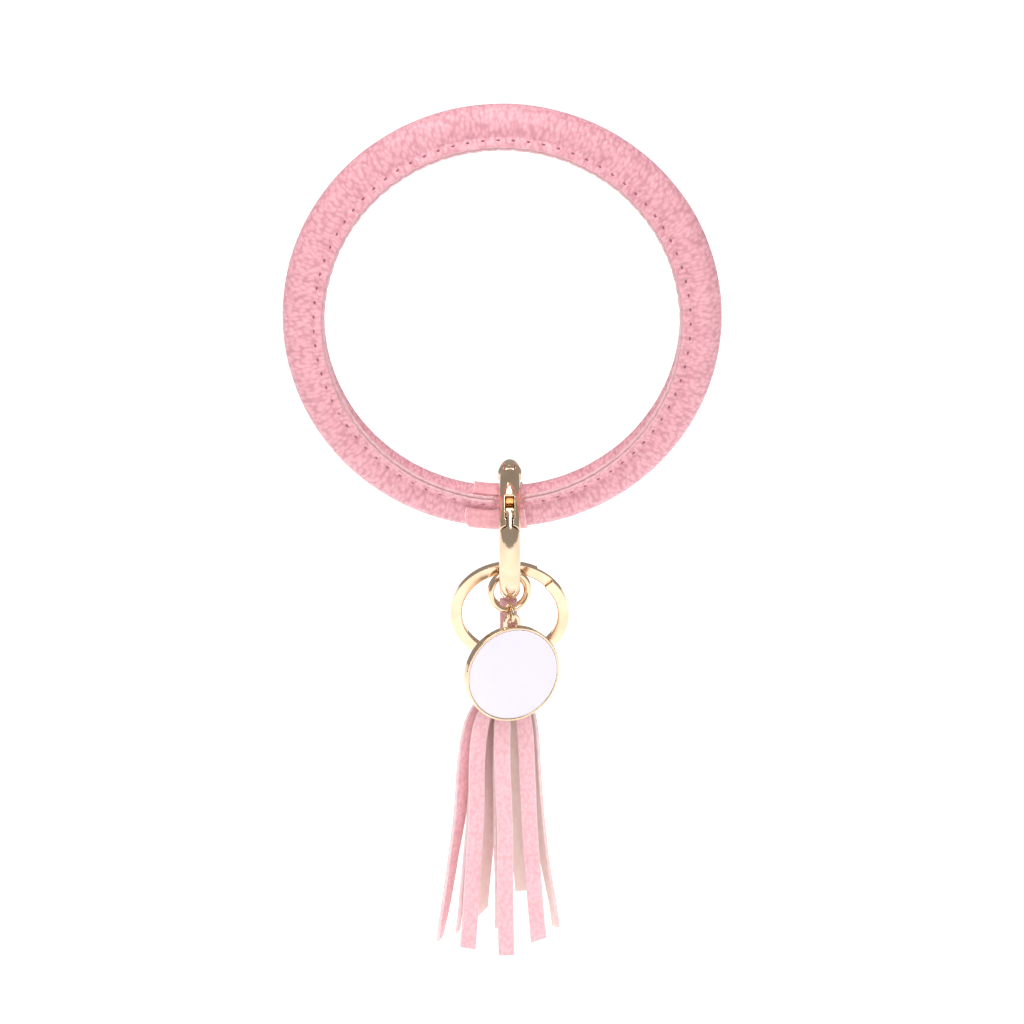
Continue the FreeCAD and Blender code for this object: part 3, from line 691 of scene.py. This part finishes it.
head = Vector(((collar_low.x + collar_high.x) / 2, (collar_low.y + collar_high.y) / 2, 0))
COLLAR_THICK = 0.58 * MM
collar_outer = (collar_high.x - collar_low.x) / 2
collar_half = (collar_high.z - collar_low.z) / 2
collar_z = (collar_low.z + collar_high.z) / 2
rings = []
for index in range(110):
    turn = 395.0 * index / 109
    angle = math.radians(75.0 + turn)
    over = ease(turn, 345.0, 372.0)
    under = 1 - ease(turn, 0.0, 40.0)
    radius = collar_outer - COLLAR_THICK / 2 - 0.12 * MM * under + 0.50 * MM * over
    radius += 0.04 * MM * rand(3 * math.cos(angle), 3 * math.sin(angle), turn / 200)
    outline = flat_section(collar_half, COLLAR_THICK / 2, STRIP_ACROSS, 0.16)
    direction = Vector((math.cos(angle), math.sin(angle), 0))
    ring = []
    for sideways, up in outline:
        swell = 0.07 * MM * (1 - (sideways / collar_half) ** 2)
        ring.append(head + direction * (radius + up + swell) + Vector((0, 0, collar_z + sideways)))
    rings.append(ring)
collar = skin("tassel_collar", rings, [PINK_STRAND, BACK, PALE_EDGE], pick=strip_face(STRIP_ACROSS))
finished(collar, "tassel", "tassel_leather", "collar")

# Each strand: offsets (x, y) in millimetres from the head's axis at the collar, the shoulder, the middle and
# the tip, the tip's height, the turns at the shoulder and the tip in degrees, 1 with the grain to the front
# or -1 with the back to the front, the slant of its cut end in millimetres, and its curl.
STRANDS = [
    ((-1.5, 0.1), (-7.9, 0.6), (-10.6, 1.0), (-14.6, 1.7), -141.3, 30, 68, 1, 0.9, 2.2),
    ((-1.0, -1.1), (-6.3, -0.4), (-8.6, 0.6), (-11.2, 1.0), -140.3, 70, 82, 1, -0.4, -0.4),
    ((-0.8, -2.1), (-6.0, -2.6), (-7.1, -2.8), (-8.9, -3.0), -142.4, 8, 12, 1, -0.5, 0.3),
    ((-0.3, 1.5), (-3.0, 2.9), (-4.1, 3.1), (-5.7, 3.5), -136.5, 30, 52, -1, 0.5, -0.5),
    ((0.0, -0.1), (-2.5, 0.9), (-2.6, 1.2), (-2.5, 1.5), -138.8, 74, 82, -1, 0.3, 0.3),
    ((0.2, -2.4), (-1.3, -3.1), (-0.8, -3.3), (-0.6, -3.5), -143.8, -2, -3, 1, 0.1, 0.25),
    ((0.7, 1.3), (1.2, 1.9), (2.1, 2.4), (3.0, 3.0), -131.4, -24, -38, -1, 0.6, 0.5),
    ((1.4, -1.6), (3.5, -1.8), (4.7, -2.2), (6.7, -2.7), -140.6, -9, -14, 1, 0.8, -0.3),
    ((1.9, -0.1), (5.0, 0.3), (6.8, 0.5), (10.2, 0.7), -139.0, -52, -70, -1, 0.6, -0.8),
    ((-0.7, 0.9), (-5.7, 3.4), (-7.3, 4.2), (-9.3, 5.1), -136.0, 24, 34, -1, 0.4, 0.4),
    ((1.4, 0.9), (3.6, 3.4), (4.7, 4.3), (5.7, 5.3), -135.0, -20, -30, -1, -0.4, -0.4),
]
STRAND_HALF = 1.75 * MM
STRAND_THICK = 0.72 * MM
SHOULDER = -91.0 * MM
MIDDLE = -115.0 * MM


def through(knots, heights, z):
    """A smooth value at a height, through knots at falling heights."""
    for index in range(len(heights) - 1):
        if z >= heights[index + 1] or index == len(heights) - 2:
            break
    h0, h1 = heights[index], heights[index + 1]
    t = min(1.0, max(0.0, (h0 - z) / (h0 - h1)))

    def slope(k):
        if 0 < k < len(knots) - 1:
            return (knots[k + 1] - knots[k - 1]) / (heights[k + 1] - heights[k - 1])
        other = 1 if k == 0 else len(knots) - 2
        return (knots[other] - knots[k]) / (heights[other] - heights[k])

    span = h1 - h0
    a = 2 * t ** 3 - 3 * t ** 2 + 1
    b = t ** 3 - 2 * t ** 2 + t
    return (a * knots[index] + b * span * slope(index) + (1 - a) * knots[index + 1]
            + (t ** 3 - t ** 2) * span * slope(index + 1))


def strand(number, row):
    """One strip of the fringe, cupped and curling a little, with its slanted cut end."""
    collar_at, shoulder_at, middle_at, tip_at, tip_z, shoulder_turn, tip_turn, face, slant, curl = row
    tip_z *= MM
    top = collar_low.z + 0.9 * MM
    heights = [top, SHOULDER, MIDDLE, tip_z]
    xs = [head.x + at[0] * MM for at in (collar_at, shoulder_at, middle_at, tip_at)]
    ys = [head.y + at[1] * MM for at in (collar_at, shoulder_at, middle_at, tip_at)]
    turns = [shoulder_turn / 2, shoulder_turn, (shoulder_turn + tip_turn) / 2, tip_turn]
    wides = [0.55, 1.0, 1.0, 1.0]
    count = 72
    rings = []
    for step in range(count + 1):
        t = step / count
        z = top + (tip_z - top) * t
        sway = 5.0 * rand(t * 3.0, number * 3.7) * ease(t, 0.1, 0.4)
        turn = math.radians(through(turns, heights, z) + sway)
        wide = min(1.0, max(0.5, through(wides, heights, z)))
        drift = 0.22 * MM * ease(t, 0.15, 0.6)
        place = Vector((through(xs, heights, z) + drift * rand(t * 4.0, number * 1.9, 1.0),
                        through(ys, heights, z) + drift * rand(t * 4.0, number * 1.9, 9.0), z))
        side = Vector((math.cos(turn), math.sin(turn), 0))
        away = Vector((math.sin(turn), -math.cos(turn), 0)) * face
        outline = flat_section(STRAND_HALF * wide, STRAND_THICK / 2, STRIP_ACROSS, 0.14)
        ring = []
        for sideways, up in outline:
            share = sideways / STRAND_HALF
            bend = 0.16 * curl + 0.14 * rand(t * 5.0, number * 2.3, 3.0)
            cup = bend * MM * share * share * ease(t, 0.05, 0.3)
            fray = 0.035 * MM * rand(z / MM * 0.8, number * 5.1, share)
            point = place + side * (sideways * face + fray * (abs(share) > 0.9)) + away * (up - cup)
            point.z += slant * MM * share * face * ease(t, 0.93, 1.0)
            ring.append(point)
        rings.append(ring)
    return skin("strand", rings, [PINK_STRAND, BACK, PALE_EDGE], pick=strip_face(STRIP_ACROSS),
                origin_uv=(number * 41.0, number * 9.0))


def roll():
    """The fringe's uncut top, rolled up in the collar."""
    rings = []
    turns = 2.9
    inner = 0.75 * MM
    outer = collar_outer - COLLAR_THICK - 0.55 * MM
    low = collar_low.z - 0.9 * MM
    high = fringe_high.z
    for index in range(150):
        t = index / 149
        angle = 2 * math.pi * turns * t + 0.6
        radius = inner + (outer - inner) * t
        direction = Vector((math.cos(angle), math.sin(angle), 0))
        outline = flat_section((high - low) / 2, STRAND_THICK / 2, ROLL_ACROSS, 0.14)
        lift = 0.10 * MM * rand(t * 9.0, 2.0)
        rings.append([head + direction * (radius + up)
                      + Vector((0, 0, (low + high) / 2 + sideways + lift * (sideways > 0)))
                      for sideways, up in outline])
    return skin("roll", rings, [PINK_STRAND, BACK, PALE_EDGE], pick=strip_face(ROLL_ACROSS),
                origin_uv=(7.0, 200.0))


fringe = joined("tassel_fringe", [roll()] + [strand(number, row) for number, row in enumerate(STRANDS)])
finished(fringe, "tassel", "tassel_leather", "fringe")

# ---------------------------------------------------------------- finishes of the CAD nodes that stay

for name, material, slot in (
    ("core_tube", CORE, "core_plastic"),
    ("core_plug", CORE, "core_plastic"),
    ("ring_body", GOLD, "gold_plate"),
    ("gate_pin", GOLD, "gold_plate"),
    ("gate", GOLD, "gold_plate"),
    ("gate_spring", STEEL, "spring_steel"),
    ("split_ring", GOLD, "gold_plate"),
    ("disc_link", GOLD, "gold_plate"),
    ("disc_bezel", GOLD, "gold_plate"),
):
    kept = frame["nodes"][name]
    kept.data.materials.clear()
    kept.data.materials.append(material)

for name, voxel, rounds in (
    ("ring_body", 0.11, 7),
    ("gate", 0.11, 7),
    ("disc_bezel", 0.12, 5),
    ("split_ring", 0.10, 4),
):
    kept = frame["nodes"][name]
    cast = kept.modifiers.new("cast", "REMESH")
    cast.mode = "VOXEL"
    cast.voxel_size = voxel * MM
    cast.use_smooth_shade = True
    polish = kept.modifiers.new("polish", "SMOOTH")
    polish.factor = 0.5
    polish.iterations = rounds

# ---------------------------------------------------------------- floor, light and camera


def card(name, place, wide, tall, turn, material):
    """A flat sheet of the studio, which isn't part of the object."""
    mesh = bpy.data.meshes.new(name)
    mesh.from_pydata([(-wide / 2, -tall / 2, 0), (wide / 2, -tall / 2, 0), (wide / 2, tall / 2, 0),
                      (-wide / 2, tall / 2, 0)], [], [(0, 1, 2, 3)])
    mesh.materials.append(material)
    made = bpy.data.objects.new(name, mesh)
    made.location = place
    made.rotation_euler = turn
    bpy.context.scene.collection.objects.link(made)
    return made


def paint(name, low, high, rough, glow=0.0):
    """Plain painted board or paper, which can glow a little as a lit backdrop does."""
    made, tree, body = shader(name, Roughness=rough, Specular_IOR_Level=0.1)
    body.inputs["Emission Color"].default_value = (1, 1, 1, 1)
    body.inputs["Emission Strength"].default_value = glow
    cloud = add(tree, "ShaderNodeTexNoise", Scale=3.0, Detail=2.0)
    tree.links.new(coordinates(tree, (1.0, 1.0, 1.0), "Object"), cloud.inputs["Vector"])
    tree.links.new(ramp(tree, cloud.outputs["Fac"], [(0.3, low), (0.7, high)]), body.inputs["Base Color"])
    return made


PAPER = paint("floor_paper", (0.93, 0.93, 0.93), (0.96, 0.96, 0.96), 0.9, 0.75)
card("floor", (0, 1.5, -0.36), 4.0, 6.0, (0, 0, 0), PAPER)


def lamp(name, place, target, size, power):
    """A soft square light that looks at a point."""
    data = bpy.data.lights.new(name, "AREA")
    data.shape = "SQUARE"
    data.size = size
    data.energy = power
    made = bpy.data.objects.new(name, data)
    made.location = place
    made.rotation_euler = (Vector(target) - Vector(place)).to_track_quat("-Z", "Y").to_euler()
    bpy.context.scene.collection.objects.link(made)


lamp("top_light", (-0.15, -0.30, 0.95), (0, 0, -0.03), 0.9, 10.0)
lamp("front_light", (0.25, -1.2, 0.75), (0, 0, -0.05), 0.6, 3.6)

world = bpy.data.worlds.new("studio")
world.use_nodes = True
world.node_tree.nodes["Background"].inputs["Color"].default_value = (1, 1, 1, 1)
world.node_tree.nodes["Background"].inputs["Strength"].default_value = 0.38
bpy.context.scene.world = world
bpy.context.scene.view_settings.view_transform = "Standard"

PITCH = math.radians(18.9)
target = Vector((2.07, 0, -42.92)) * MM
camera_data = bpy.data.cameras.new("camera")
camera_data.sensor_width = 36.0
camera_data.lens = 165.5
camera_data.clip_start = 0.05
camera_data.clip_end = 50.0
camera = bpy.data.objects.new("camera", camera_data)
camera.location = target + Vector((0, -math.cos(PITCH), math.sin(PITCH)))
camera.rotation_euler = (target - camera.location).to_track_quat("-Z", "Y").to_euler()
bpy.context.scene.collection.objects.link(camera)
bpy.context.scene.camera = camera
